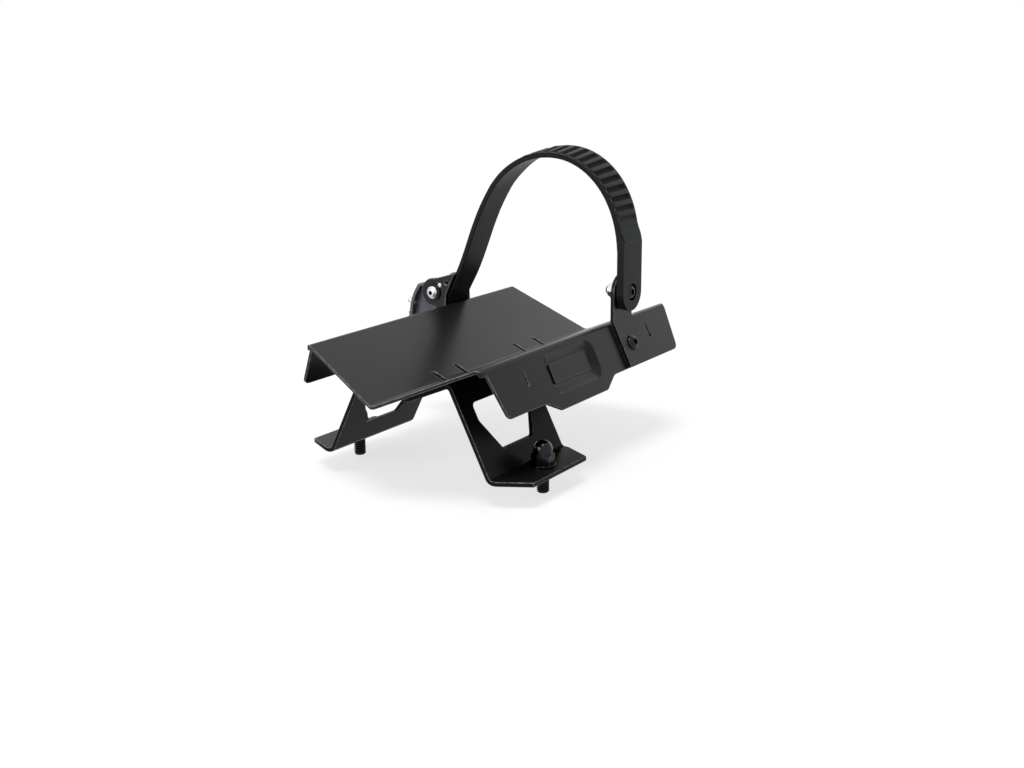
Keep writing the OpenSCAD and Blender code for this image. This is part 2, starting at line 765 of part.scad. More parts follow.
module end_block() {
  half = block_w / 2;
  top = block_z + block_run;
  neck = strap_w / 2 - tuck;
  inner = strap_in - block_proud;
  intersection() {
    along_y(-tab_y - block_t, -inner) translate([strap_x, 0]) {
      translate([0, strap_bolt_z]) circle(half);
      polygon([[-half, strap_bolt_z], [half, strap_bolt_z], [half, block_z], [neck, top], [-neck, top], [-half, block_z]]);
    }
    along_x(strap_x - half, strap_x + half) polygon([[-inner, 0], [-inner, block_z], [-strap_in - tuck, top],
      [-strap_out + tuck, top], [-tab_y - block_t, block_z], [-tab_y - block_t, 0]]);
  }
  on_strap_bolt(tab_y) cylinder(r = pad_r, h = block_step + cut);
}

module ladder_strap() {
  color(strap_colour) difference() {
    union() {
      toothed_band();
      end_block();
    }
    on_strap_bolt(tab_y - cut) cylinder(r = m6_r + bolt_fit, h = block_t + 2 * cut);
    on_strap_bolt(tab_y + block_t - block_sink) cylinder(r = m6_head_r + side_gap, h = block_sink + cut);
  }
}

module buckle_frame() {
  color(gloss) at_buckle() difference() {
    union() {
      linear_extrude(frame_t) polygon(rounded([[-cheek_out, -frame_down], [cheek_out, -frame_down],
        [cheek_out, base_up], [-cheek_out, base_up]], [frame_corner, frame_corner, frame_corner, frame_corner]));
      for (x = [-cheek_out, cheek_in]) along_x(x, x + frame_t) difference() {
        union() {
          polygon(cheek_outline);
          translate(axle_at) circle(cheek_r);
        }
        translate(axle_at) circle(m5_r + run_fit);
        translate(hold_at) circle(pin_r + run_fit);
        polygon(rounded(cheek_hole, [cut, cut, cut]));
      }
    }
    for (y = [screw_upper, screw_lower]) translate([0, y, 0]) {
      translate([0, 0, -cut]) cylinder(r = m5_r + bolt_fit, h = frame_t + 2 * cut);
      translate([0, 0, frame_t - m5_head_r + m5_r]) cylinder(r1 = m5_r + run_fit, r2 = m5_head_r + run_fit, h = m5_head_r - m5_r);
    }
  }
}

module buckle_screw(y) {
  sink = m5_head_r - m5_r;
  color(black_steel) at_buckle() translate([0, y, 0]) difference() {
    union() {
      translate([0, 0, frame_t - sink]) cylinder(r1 = m5_r, r2 = m5_head_r, h = sink);
      translate([0, 0, -tray_t - m5_nut_h - tip_past]) cylinder(r = m5_r, h = tray_t + m5_nut_h + tip_past + frame_t - sink);
    }
    translate([0, 0, frame_t - sink / 2]) hex(m5_r, sink);
  }
}

module buckle_nut(y) {
  color(steel) at_buckle() translate([0, y, -tray_t]) rotate([180, 0, 0]) difference() {
    turned_hex(m5_flats, m5_nut_h);
    translate([0, 0, -cut]) cylinder(r = m5_r + run_fit, h = m5_nut_h + 2 * cut);
  }
}

module buckle_screw_upper() {
  buckle_screw(screw_upper);
}

module buckle_screw_lower() {
  buckle_screw(screw_lower);
}

module buckle_nut_upper() {
  buckle_nut(screw_upper);
}

module buckle_nut_lower() {
  buckle_nut(screw_lower);
}

// a place on a line across the buckle, with Z turned along X
module across(at, x) {
  translate([x, at.x, at.y]) rotate([0, 90, 0]) children();
}

module lever_axle() {
  color(steel) at_buckle() across(axle_at, -cheek_out - m5_washer_h) rotate([180, 0, 0])
    button_bolt(2 * cheek_out + m5_washer_h + m5_lock_h + tip_past, m5_r, m5_button_r, m5_button_h, m5_key);
}

module axle_washer() {
  color(gloss) at_buckle() across(axle_at, -cheek_out - m5_washer_h) washer(m5_washer_r, m5_r, m5_washer_h);
}

module axle_nut() {
  color(steel) at_buckle() across(axle_at, cheek_out) lock_nut(m5_flats, m5_lock_h, m5_r);
}

module arm_shape() {
  difference() {
    union() {
      polygon(arm_outline);
      translate(axle_at) circle(hub_r);
      translate(drive_at) circle(drive_boss_r);
    }
    translate(axle_at) circle(m5_r + run_fit);
    translate(drive_at) circle(drive_pin_r + run_fit);
  }
}

module ratchet_lever() {
  color(gloss) at_buckle() difference() {
    union() {
      for (x = [-arm_out, arm_in]) along_x(x, x + arm_t) arm_shape();
      along_x(-lever_w / 2, lever_w / 2) {
        translate(back_at) ring_part(lever_r, back_in, back_from, back_to);
        for (i = [0 : grip_count - 1]) translate(back_at + polar(lever_r, grip_from + i * grip_step)) circle(grip_r);
        strip(lip_root, lip_end, lip_t);
        translate(lip_end + right_of(unit(lip_end - lip_root)) * lip_t / 2) circle(lip_t / 2);
      }
    }
    on_rivet(-cut) cylinder(r = rivet_r + run_fit, h = lever_t + 2 * cut);
  }
}

// the rivet's line through the lever's back, height measured from the back's inner face
module on_rivet(h) {
  spot = back_at + polar(back_in + h, rivet_turn);
  translate([rivet_x, spot.x, spot.y]) rotate([rivet_turn - 90, 0, 0]) children();
}

module lever_rivet() {
  color(steel) at_buckle() {
    on_rivet(0) cylinder(r = rivet_r, h = lever_t + cut);
    on_rivet(lever_t) cylinder(r1 = rivet_head_r, r2 = rivet_head_r - run_fit, h = rivet_head_h);
  }
}

module drive_pawl() {
  color(steel) at_buckle() along_x(-drive_half, drive_half) translate(drive_at) difference() {
    union() {
      circle(drive_body_r);
      polygon(drive_nose);
    }
    circle(drive_pin_r + run_fit);
  }
}

module drive_pin() {
  color(steel) at_buckle() across(drive_at, -arm_out) cylinder(r = drive_pin_r, h = 2 * arm_out);
}

module hold_pawl() {
  color(steel) at_buckle() translate([0, hold_at.x, hold_at.y]) difference() {
    union() {
      along_x(-hold_half, hold_half) {
        circle(hold_body_r);
        polygon(hold_nose);
      }
      along_x(-hold_tab_half, hold_tab_half) polygon(hold_tab);
    }
    along_x(-hold_half - cut, hold_half + cut) circle(pin_r + run_fit);
  }
}

module hold_pin() {
  color(steel) at_buckle() across(hold_at, -cheek_out) cylinder(r = pin_r, h = 2 * cheek_out);
}

wheel_tray();
base_bracket();
badge_plate();
strap_bracket();
foot_stud_near();
foot_stud_far();
foot_washer_near();
foot_washer_far();
foot_nut_near();
foot_nut_far();
bracket_bolt();
bracket_washer();
bracket_nut();
strap_bolt();
strap_washer();
strap_nut();
ladder_strap();
buckle_frame();
buckle_screw_upper();
buckle_screw_lower();
buckle_nut_upper();
buckle_nut_lower();
lever_axle();
axle_washer();
axle_nut();
ratchet_lever();
lever_rivet();
drive_pawl();
drive_pin();
hold_pawl();
hold_pin();
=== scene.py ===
import json
import math

import bmesh
import bpy
from mathutils import Matrix, Vector

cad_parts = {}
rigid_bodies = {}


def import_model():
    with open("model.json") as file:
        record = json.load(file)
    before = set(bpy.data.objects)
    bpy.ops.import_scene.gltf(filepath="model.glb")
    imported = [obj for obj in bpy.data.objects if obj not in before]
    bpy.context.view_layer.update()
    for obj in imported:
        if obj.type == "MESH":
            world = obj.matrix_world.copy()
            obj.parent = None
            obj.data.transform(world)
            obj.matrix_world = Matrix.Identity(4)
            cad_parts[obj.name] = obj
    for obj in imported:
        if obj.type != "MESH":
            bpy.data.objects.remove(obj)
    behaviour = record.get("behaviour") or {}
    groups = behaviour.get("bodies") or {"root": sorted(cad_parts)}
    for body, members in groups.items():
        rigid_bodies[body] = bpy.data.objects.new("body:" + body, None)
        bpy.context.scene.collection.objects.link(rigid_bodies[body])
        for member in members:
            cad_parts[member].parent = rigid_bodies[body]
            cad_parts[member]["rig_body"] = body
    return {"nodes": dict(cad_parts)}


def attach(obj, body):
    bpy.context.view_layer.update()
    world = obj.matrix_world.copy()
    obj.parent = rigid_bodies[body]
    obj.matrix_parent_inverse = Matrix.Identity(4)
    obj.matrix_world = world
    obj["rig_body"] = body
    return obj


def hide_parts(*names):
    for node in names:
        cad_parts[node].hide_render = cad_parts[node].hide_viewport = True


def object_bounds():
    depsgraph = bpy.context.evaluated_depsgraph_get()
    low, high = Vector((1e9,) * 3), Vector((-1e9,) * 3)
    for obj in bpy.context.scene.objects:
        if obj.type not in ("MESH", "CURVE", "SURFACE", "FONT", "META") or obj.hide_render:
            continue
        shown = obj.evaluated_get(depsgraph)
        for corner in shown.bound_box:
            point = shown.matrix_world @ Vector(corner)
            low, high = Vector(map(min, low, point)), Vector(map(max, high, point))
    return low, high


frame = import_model()
cad_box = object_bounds()

MM = 0.001
WHITE = (1, 1, 1, 1)
# corners sharper than this, in degrees, stay creased in the shading
CREASE = 40
# steps round a turned piece, and the weld of its seams in mm
SIDES = 48
SEAM = 0.0001

# where the solids are that the drawn pieces fit, in mm
FLANGE_LEAN = math.radians(26)
NEAR_OUT = (0, -math.cos(FLANGE_LEAN), math.sin(FLANGE_LEAN))
NEAR_IN = [-part for part in NEAR_OUT]
STRAP_X = 109
STRAP_BOLT_SEAT = (STRAP_X, -72.7, 94)
STRAP_NUT_SEAT = (STRAP_X, -64, 94)
BRACKET_BOLT_SEAT = (STRAP_X, -75.76, 59.78)
BRACKET_GRIP = 6.4
BRACKET_NUT_SEAT = [a - BRACKET_GRIP * b for a, b in zip(BRACKET_BOLT_SEAT, NEAR_OUT)]
LEVER_AXLE_SEAT = (92.5, 78.21, 81.22)
AXLE_NUT_SEAT = (124.3, LEVER_AXLE_SEAT[1], LEVER_AXLE_SEAT[2])
STUD_Y = 73

# button head bolts: radius of shank and head, the head's rise, the key and the pitch, in mm
M6 = {"shank": 3, "head": 5.25, "rise": 3.3, "key": 4, "pitch": 1.0}
M5 = {"shank": 2.5, "head": 4.5, "rise": 2.8, "key": 3, "pitch": 0.8}
HEAD_RIM = 0.7
HEAD_EASE = 0.2
CROWN_STEPS = 9
SOCKET_LAND = 0.35
SOCKET_DEPTH = 2
THREAD_LEN = 4
THREAD_OVERLAP = 0.5
# a thread's depth as a share of its pitch, and how far under the root its lead-in starts
THREAD_DEPTH = 0.61
LEAD_IN = 0.1
# the foot studs' thread, and radius and height round their plain neck
STUD_R = 4
STUD_PITCH = 1.25
STUD_DOWN = 14
STUD_NECK = ((0, -0.6), (3.7, -0.6), (3.9, -0.4), (3.9, 10.8), (3.6, 11.1), (0, 11.1))
# round a lock nut's ring: how far outside the shank, and how far above the collar
RING = ((0.02, -0.6), (0.02, 0.05), (0.25, 0.18), (0.85, 0.1), (1.05, -0.1), (1.05, -0.6),
        (0.02, -0.6))
# the badge's rim, its sunk field and its rounding
BADGE_RIM = 0.9
BADGE_SINK = 0.3
BADGE_EASE = 0.12

# the strap's path, in mm: two arcs and the far straight run, how far the bent band leaves them,
# and its twist in degrees
STRAP_OUT = 72.8
ARCH_R = 57.4
ARCH_Z = 184.4
CROWN_FLAT = 2
CROWN_Y = ARCH_R - STRAP_OUT
FAR_TURN = math.pi / 2 - FLANGE_LEAN
FAR_R = 49.7
BOW = ((-16, 0), (10, -1.4), (72, 1.05), (126, -1.45), (166, 1.2), (212, -1.1), (240, 0))
TWIST = 9
TWIST_LEN = 130
# its section: across, level and kind of the points round it, on the base, a rail or the face
STRAP_T = 2.6
STRAP_HALF = 12.2
STRAP_RING = (
    (-11.8, 0, "base"), (-12.2, 0.4, "base"), (-12.2, -0.35, "rail"), (-11.9, 0, "rail"),
    (-10.2, 0, "rail"), (-9.2, 0, "face"), (-3.2, 0, "face"), (3.2, 0, "face"), (9.2, 0, "face"),
    (10.2, 0, "rail"), (11.9, 0, "rail"), (12.2, -0.35, "rail"), (12.2, 0.4, "base"),
    (11.8, 0, "base"),
)
# its round tail: where the rounding starts, its stations in degrees, and its least width share
TAIL_TIP = 275
TAIL_TURNS = range(0, 90, 12)
TAIL_LEAST = 0.004
STATION_GAP = 0.1
# the teeth: where they start, the stations and the wave of one pitch, and their fade at both ends
NECK_LEN = 20
TOOTH_FIRST = 11
TOOTH_PITCH = 7
TOOTH_RISE = 0.45
POCKET_DEPTH = 0.95
TOOTH_STEPS = (0.12, 0.9, 0.98, 0.7, 0.7, 0.7, 0.7, 0.9, 0.95, 0.35)
TOOTH_WAVE = ((0, 0.35), (0.12, TOOTH_RISE), (2.0, TOOTH_RISE), (4.8, -POCKET_DEPTH),
              (6.65, -POCKET_DEPTH), (TOOTH_PITCH, 0.35))
TOOTH_FADE = ((6, 0), (28, 1), (256, 1), (266, 0))
# the level of the side rails: a ramp runs up to the block's face, and the tail is thin
RAIL_LEVEL = ((-8, 2.2), (0.6, 3.3), (14, 1.0), (256, 1.0), (266, 0.4))
# the end block is the solid's own, from below this height and on this side of it
BLOCK_TOP = 130.3
BLOCK_FAR_Y = -40
BLOCK_EASE = 0.3


def colour(code):
    """A hex sRGB colour as linear red, green, blue and alpha."""
    parts = [int(code[i:i + 2], 16) / 255 for i in (1, 3, 5)]
    return [p / 12.92 if p <= 0.04045 else ((p + 0.055) / 1.055) ** 2.4 for p in parts] + [1]


def add(tree, kind, inputs=None, **settings):
    """Adds a node, sets its settings, and fills its inputs with values or links."""
    node = tree.nodes.new(kind)
    for name, value in settings.items():
        setattr(node, name, value)
    for socket, value in (inputs or {}).items():
        if isinstance(value, bpy.types.NodeSocket):
            tree.links.new(value, node.inputs[socket])
        else:
            node.inputs[socket].default_value = value
    return node


def start(name):
    """A new material with its tree and its shader."""
    material = bpy.data.materials.new(name)
    material.use_nodes = True
    return material, material.node_tree, material.node_tree.nodes["Principled BSDF"]


def place(tree):
    """The piece's own Object coordinates."""
    return add(tree, "ShaderNodeTexCoord").outputs["Object"]


def noise(tree, coords, size, detail, distortion=0.0):
    """Noise with patches about size mm across."""
    return add(tree, "ShaderNodeTexNoise",
               {"Vector": coords, "Scale": 1 / (size * MM), "Detail": detail,
                "Distortion": distortion}).outputs["Fac"]


def mark(tree, name):
    """A mark that the piece's mesh carries, from 0 to 1."""
    return add(tree, "ShaderNodeAttribute", attribute_name=name).outputs["Fac"]


def mixed(tree, share, low, high):
    """A colour between two others."""
    return add(tree, "ShaderNodeMix", {"Factor": share, "A": low, "B": high},
               data_type="RGBA").outputs["Result"]


def ranged(tree, value, low, high, start_at=0.0, end_at=1.0, **settings):
    """A value taken from one range to another."""
    return add(tree, "ShaderNodeMapRange",
               {"Value": value, "From Min": start_at, "From Max": end_at, "To Min": low,
                "To Max": high}, **settings).outputs[0]


def worked(tree, operation, first, second):
    """Two values put together by one sum."""
    return add(tree, "ShaderNodeMath", {0: first, 1: second}, operation=operation).outputs[0]


def finish_coat(tree, shader, base, gloss, relief, strength, depth):
    """Gives the shader its colour and roughness, and a relief of depth mm."""
    bump = add(tree, "ShaderNodeBump",
               {"Height": relief, "Strength": strength, "Distance": depth * MM})
    tree.links.new(base, shader.inputs["Base Color"])
    tree.links.new(gloss, shader.inputs["Roughness"])
    tree.links.new(bump.outputs["Normal"], shader.inputs["Normal"])


def powder_coat(name, specular):
    """Black powder baked on sheet steel: faint orange peel, paler on cut edges where it is thin,
    with a painted highlight there too.
    """
    material, tree, shader = start(name)
    coords = place(tree)
    # orange peel cells are about 1 mm on the real coat
    peel = noise(tree, coords, 1.1, 2.0)
    # handling marks a few centimetres across change the gloss
    smear = noise(tree, coords, 45, 5.0, 0.6)
    # on an edge the coat thins in patches of a few millimetres
    chips = noise(tree, coords, 3, 4.0)
    thin = ranged(tree, chips, 0.25, 1.0, 0.35, 0.65)
    # the cut edges turn paler in patches: partly a thinner coat, partly a painted highlight
    wear_and_highlight = worked(tree, "MULTIPLY", mark(tree, "edge"), thin)
    tone = mixed(tree, smear, colour("#111110"), colour("#181816"))
    rubbed_and_highlit = mixed(tree, wear_and_highlight, tone, colour("#7d7a73"))
    gloss = ranged(tree, smear, 0.25, 0.34)
    finish_coat(tree, shader, rubbed_and_highlit, gloss, peel, 0.06, 0.1)
    shader.inputs["IOR"].default_value = 1.5
    shader.inputs["Specular IOR Level"].default_value = specular
    return material


def strap_nylon():
    """Charcoal nylon from a spark-eroded mould: low sheen, greyer on its edges from rubbing, with a
    painted highlight on the tooth tops and painted shade in the pockets.
    """
    material, tree, shader = start("moulded_charcoal_nylon")
    coords = place(tree)
    # the moulded grain is about 0.4 mm, and the melt's flow shows over about 18 mm
    grain = noise(tree, coords, 0.4, 3.0)
    flow = noise(tree, coords, 18, 3.0)
    pocket = mark(tree, "pocket")
    tone = mixed(tree, flow, colour("#16181a"), colour("#1e2123"))
    # edges paler from rubbing, tooth tops paler as a painted highlight
    rubbed_edges_and_lit_tips = worked(tree, "MAXIMUM", mark(tree, "edge"), mark(tree, "tip"))
    wear_and_highlight = worked(tree, "MULTIPLY", rubbed_edges_and_lit_tips, 0.35)
    rubbed_and_highlit = mixed(tree, wear_and_highlight, tone, colour("#4b4c4f"))
    # the pockets between the teeth are painted near black as shade
    pocket_shade = mixed(tree, pocket, rubbed_and_highlit, colour("#060607"))
    sheen = ranged(tree, flow, 0.36, 0.46)
    # the pockets between the teeth keep the mould's coarse grain, which hands never polish
    gloss = ranged(tree, pocket, sheen, 0.6)
    finish_coat(tree, shader, pocket_shade, gloss, grain, 0.12, 0.08)
    shader.inputs["IOR"].default_value = 1.53
    shader.inputs["Specular IOR Level"].default_value = 0.09
    return material


def smooth_coat(name, dark, pale, low, high, edge_rub_and_highlight=0.3, specular=0.5):
    """A smooth enamel, lacquer or moulding: a slow ripple in its gloss, edges paler from rubbing
    and from a painted highlight.
    """
    material, tree, shader = start(name)
    coords = place(tree)
    ripple = noise(tree, coords, 2.5, 2.0)
    film = noise(tree, coords, 9, 4.0)
    tone = mixed(tree, film, colour(dark), colour(pale))
    # the edges turn paler by the given share, from rubbing and from a painted highlight
    wear_and_highlight = worked(tree, "MULTIPLY", mark(tree, "edge"), edge_rub_and_highlight)
    rubbed_and_highlit = mixed(tree, wear_and_highlight, tone, colour("#7c7d80"))
    gloss = ranged(tree, film, low, high)
    finish_coat(tree, shader, rubbed_and_highlit, gloss, ripple, 0.08, 0.15)
    shader.inputs["IOR"].default_value = 1.5
    shader.inputs["Specular IOR Level"].default_value = specular
    return material


def plated_steel(name, dark, pale, low, high):
    """Machined metal with a thin skin: fine tool lines, cloudy gloss, and painted shade that
    darkens the key sockets.
    """
    material, tree, shader = start(name)
    coords = place(tree)
    # tool lines are about 0.1 mm apart, drawn at 0.4 mm so that they show
    lines = noise(tree, coords, 0.4, 2.0)
    cloud = noise(tree, coords, 4, 4.0)
    tone = mixed(tree, cloud, colour(dark), colour(pale))
    # the key sockets are painted near black as the shade inside them
    base = mixed(tree, mark(tree, "socket"), tone, colour("#1a1a1b"))
    gloss = ranged(tree, cloud, low, high)
    finish_coat(tree, shader, base, gloss, lines, 0.1, 0.05)
    shader.inputs["Metallic"].default_value = 1.0
    return material


# the tray shines softly; the bracket under it gets a duller copy of the same coat so that it reads
# near black, as painted shade
POWDER = powder_coat("satin_powder_coat", 0.19)
SHADE_DULLED_POWDER = powder_coat("shade_dulled_powder_coat", 0.06)
# dull charcoal, tooth tips grey as a painted highlight, pockets black as painted shade
NYLON = strap_nylon()
# near black cheeks, their pale outlines a painted highlight
CHEEK_ENAMEL = smooth_coat("black_gloss_enamel", "#070708", "#0e0e10", 0.14, 0.26, 0.9, 0.32)
# a bluish grey grip that stands off from the black cheeks: partly the lever's own dark grey, partly
# painted sheen
LEVER_SLATE_AND_SHEEN = smooth_coat("slate_grey_with_painted_sheen", "#4a4b56", "#60616e", 0.2, 0.34)
# a bare black field in a pale thin frame
BADGE_BLACK = smooth_coat("matt_badge_lacquer", "#060607", "#0a0a0b", 0.28, 0.4, 0.9, 0.25)
# a dark ring in the bright collar of a lock nut
INSERT_NYLON = smooth_coat("locknut_insert_nylon", "#17181a", "#222326", 0.4, 0.5)
# bright pins and nuts, black bolts that glint, and a rivet softer than the pins
ZINC = plated_steel("bright_zinc_plate", "#c4c6c8", "#e2e3e4", 0.38, 0.52)
BLACK_ZINC = plated_steel("black_zinc_plate", "#222226", "#333339", 0.12, 0.22)
RIVET = plated_steel("satin_aluminium", "#b9babb", "#d2d3d4", 0.3, 0.45)


def piece(name, bm, material, node, replaced=True):
    """Makes a finished bmesh an object that rides with a CAD node and may stand for it."""
    mesh = bpy.data.meshes.new(name)
    bm.to_mesh(mesh)
    bm.free()
    mesh.materials.append(material)
    mesh.shade_smooth()
    mesh.set_sharp_from_angle(angle=math.radians(CREASE))
    made = bpy.data.objects.new(name, mesh)
    bpy.context.scene.collection.objects.link(made)
    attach(made, frame["nodes"][node]["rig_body"])
    if replaced:
        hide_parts(node)
    # broad faces rule the shading, so that flat sheet stays flat beside its rounded edges
    made.modifiers.new("even", "WEIGHTED_NORMAL").keep_sharp = True


def merged_copy(node):
    """A CAD node's solid with its loose triangles joined and its flat faces made whole."""
    bm = bmesh.new()
    bm.from_mesh(frame["nodes"][node].data)
    bmesh.ops.remove_doubles(bm, verts=bm.verts, dist=0.002 * MM)
    bmesh.ops.dissolve_limit(bm, angle_limit=math.radians(0.6), verts=bm.verts, edges=bm.edges)
    return bm


def open_edges(bm):
    """The edges round the holes of a mesh."""
    return [e for e in bm.edges if e.is_boundary]


def closed(bm):
    """Fills the holes of a mesh, and gives the faces that this makes."""
    return bmesh.ops.holes_fill(bm, edges=open_edges(bm), sides=0)["faces"]


def outward(bm):
    """Turns the faces of a closed mesh outward."""
    bmesh.ops.recalc_face_normals(bm, faces=bm.faces)


def sawn(bm, at, way):
    """Saws a mesh off at a height; way is 1 to take off the top, and -1 the bottom."""
    bmesh.ops.bisect_plane(bm, geom=bm.verts[:] + bm.edges[:] + bm.faces[:], plane_co=(0, 0, at),
                           plane_no=(0, 0, way), clear_outer=True)


def joined(bm, other):
    """Adds another closed shell to a piece."""
    mesh = bpy.data.meshes.new("shell")
    other.to_mesh(mesh)
    other.free()
    bm.from_mesh(mesh)
    bpy.data.meshes.remove(mesh)


def ease_edges(bm, width, limit, shortest=0):
    """Rounds edges sharper than limit degrees by width mm, and marks the roundings as edge."""
    edge = bm.faces.layers.float.new("edge")
    sharp = [e for e in bm.edges if len(e.link_faces) == 2
             and e.calc_face_angle() > math.radians(limit) and e.calc_length() > shortest * MM]
    made = bmesh.ops.bevel(bm, geom=sharp, offset=width * MM, offset_type="OFFSET", segments=2,
                           profile=0.5, affect="EDGES", clamp_overlap=False, loop_slide=True,
                           material=-1)
    for face in made["faces"]:
        face[edge] = 1.0


def eased(node, width, material, limit=28, shortest=0):
    """Stands in for a CAD node with the same solid, its sharp edges rounded off."""
    bm = merged_copy(node)
    ease_edges(bm, width, limit, shortest)
    piece(node + ".eased", bm, material, node)


def badge():
    """The bare badge: a plate with a thin raised rim round a plain sunk field."""
    bm = merged_copy("badge_plate")
    out = Vector(NEAR_OUT)
    face = max((f for f in bm.faces if f.normal.dot(out) > 0.99), key=lambda f: f.calc_area())
    bmesh.ops.inset_region(bm, faces=[face], thickness=BADGE_RIM * MM, depth=-BADGE_SINK * MM,
                           use_even_offset=True)
    ease_edges(bm, BADGE_EASE, 28)
    piece("badge_plate.rimmed", bm, BADGE_BLACK, "badge_plate")


def strap_spot(s):
    """The strap's outer face at the length s along it: its Y and Z in mm and its direction."""
    near_arc = ARCH_R * math.pi / 2
    far_arc = FAR_R * FAR_TURN
    if s < 0:
        return -STRAP_OUT, ARCH_Z - ARCH_R + s, math.pi / 2
    if s < near_arc:
        turn = s / ARCH_R
        return (CROWN_Y - ARCH_R * math.cos(turn), ARCH_Z - ARCH_R + ARCH_R * math.sin(turn),
                math.pi / 2 - turn)
    s -= near_arc
    if s < CROWN_FLAT:
        return CROWN_Y + s, ARCH_Z, 0
    s -= CROWN_FLAT
    turn = min(s / FAR_R, FAR_TURN)
    run = max(0, s - far_arc)
    return (CROWN_Y + CROWN_FLAT + FAR_R * math.sin(turn) + run * math.sin(FLANGE_LEAN),
            ARCH_Z - FAR_R + FAR_R * math.cos(turn) - run * math.cos(FLANGE_LEAN), -turn)


def eased_between(table, s):
    """The value at s of a table of places and values, eased from one to the next."""
    for (a, low), (b, high) in zip(table, table[1:]):
        if a <= s < b:
            return low + (high - low) * (1 - math.cos(math.pi * (s - a) / (b - a))) / 2
    return table[-1][1] if s >= table[-1][0] else table[0][1]


def strap_station(s):
    """One section of the strap: its width as a share, and the levels of its rails and face."""
    share = 1.0
    if s >= TAIL_TIP:
        share = math.sqrt(max(TAIL_LEAST, 1 - ((s - TAIL_TIP) / STRAP_HALF) ** 2))
    rail = eased_between(RAIL_LEVEL, s)
    wave = eased_between(TOOTH_WAVE, (s - TOOTH_FIRST) % TOOTH_PITCH)
    return share, rail, rail + eased_between(TOOTH_FADE, s) * wave


def strap_lengths():
    """The lengths along the strap where it has a section: neck, teeth and round tail."""
    lengths = [TOOTH_FIRST - NECK_LEN + i for i in range(NECK_LEN + 1)]
    while lengths[-1] < TAIL_TIP:
        for step in TOOTH_STEPS:
            lengths.append(lengths[-1] + step)
    rounding = [TAIL_TIP + STRAP_HALF * math.sin(math.radians(turn)) for turn in TAIL_TURNS]
    return [s for s in lengths if s < TAIL_TIP - STATION_GAP] + rounding


def strap_point(s, x, out):
    """The place of a point of the strap, across it by x and outward by out, in metres."""
    turn = 0
    if 0 < s < TWIST_LEN:
        turn = math.radians(TWIST) * math.sin(math.pi * s / TWIST_LEN)
    y, z, way = strap_spot(s)
    height = x * math.sin(turn) + out * math.cos(turn) + eased_between(BOW, s)
    return Vector((STRAP_X + x * math.cos(turn) - out * math.sin(turn),
                   y - height * math.sin(way), z + height * math.cos(way))) * MM


def strap_block():
    """The thick bored end of the CAD strap, sawn off above its shoulder."""
    bm = merged_copy("ladder_strap")
    sawn(bm, BLOCK_TOP * MM, 1)
    beyond = [v for v in bm.verts if v.co.y > BLOCK_FAR_Y * MM]
    bmesh.ops.delete(bm, geom=beyond, context="VERTS")
    closed(bm)
    ease_edges(bm, BLOCK_EASE, 30, 0.2)
    return bm


def strap():
    """The ladder strap: a toothed band with side rails over the wheel space, and its end block."""
    lengths = strap_lengths()
    along = len(lengths) - 1
    around = len(STRAP_RING)
    bm = bmesh.new()
    bmesh.ops.create_grid(bm, x_segments=along, y_segments=around, size=0.5)
    tip = bm.verts.layers.float.new("tip")
    pocket = bm.verts.layers.float.new("pocket")
    for vert in bm.verts:
        s = lengths[round((vert.co.x + 0.5) * along)]
        across, level, kind = STRAP_RING[round((vert.co.y + 0.5) * around) % around]
        share, rail, face = strap_station(s)
        # the tooth tops carry the mark of the painted highlight, the pockets that of the painted
        # shade
        if kind == "face":
            vert[tip] = max(0.0, face - rail) / TOOTH_RISE
            vert[pocket] = max(0.0, rail - face) / POCKET_DEPTH
        out = {"face": face, "rail": rail + level, "base": level - STRAP_T}[kind]
        vert.co = strap_point(s, across * share, out)
    bmesh.ops.remove_doubles(bm, verts=bm.verts, dist=0.001 * MM)
    closed(bm)
    outward(bm)
    joined(bm, strap_block())
    piece("ladder_strap.toothed", bm, NYLON, "ladder_strap")


def drawn(bm, outline):
    """A line of edges through points of radius and height, ready to be spun."""
    points = [bm.verts.new((radius, 0, height)) for radius, height in outline]
    return points + [bm.edges.new(pair) for pair in zip(points, points[1:])]


def turned(bm, outline):
    """Turns an outline of radius and height about the Z axis, as on a lathe."""
    bmesh.ops.spin(bm, geom=drawn(bm, outline), cent=(0, 0, 0), axis=(0, 0, 1),
                   angle=2 * math.pi, steps=SIDES, use_merge=True)
    bmesh.ops.remove_doubles(bm, verts=bm.verts, dist=SEAM)


def threaded(crest, pitch, low, high):
    """A rolled thread: a tooth swept up a screw line, sawn flat, with a lead-in at its low end."""
    bm = bmesh.new()
    root = crest - THREAD_DEPTH * pitch
    # a tooth's outline as radius and share of the pitch
    tooth = ((root, 0), (root, 0.12), (crest, 0.44), (crest, 0.56), (root, 0.88), (root, 1))
    outline = [(radius, low + pitch * (share - 1)) for radius, share in tooth]
    turns = math.ceil((high - low) / pitch) + 2
    bmesh.ops.spin(bm, geom=drawn(bm, outline), cent=(0, 0, 0), axis=(0, 0, 1),
                   dvec=(0, 0, pitch / SIDES), angle=2 * math.pi * turns, steps=SIDES * turns,
                   use_merge=False)
    bmesh.ops.remove_doubles(bm, verts=bm.verts, dist=SEAM)
    sawn(bm, low, -1)
    sawn(bm, high, 1)
    for vert in bm.verts:
        reach = root - LEAD_IN + vert.co.z - low
        radius = math.hypot(vert.co.x, vert.co.y)
        if radius > reach:
            vert.co.x *= reach / radius
            vert.co.y *= reach / radius
    closed(bm)
    outward(bm)
    return bm


def seated(bm, at, axis):
    """Takes a fastener drawn in mm with its seat on z = 0 to its place, its head along axis."""
    turn = Vector(axis).to_track_quat("Z", "Y").to_matrix().to_4x4()
    to_place = Matrix.Translation(Vector(at) * MM) @ turn @ Matrix.Scale(MM, 4)
    bmesh.ops.transform(bm, matrix=to_place, verts=bm.verts)


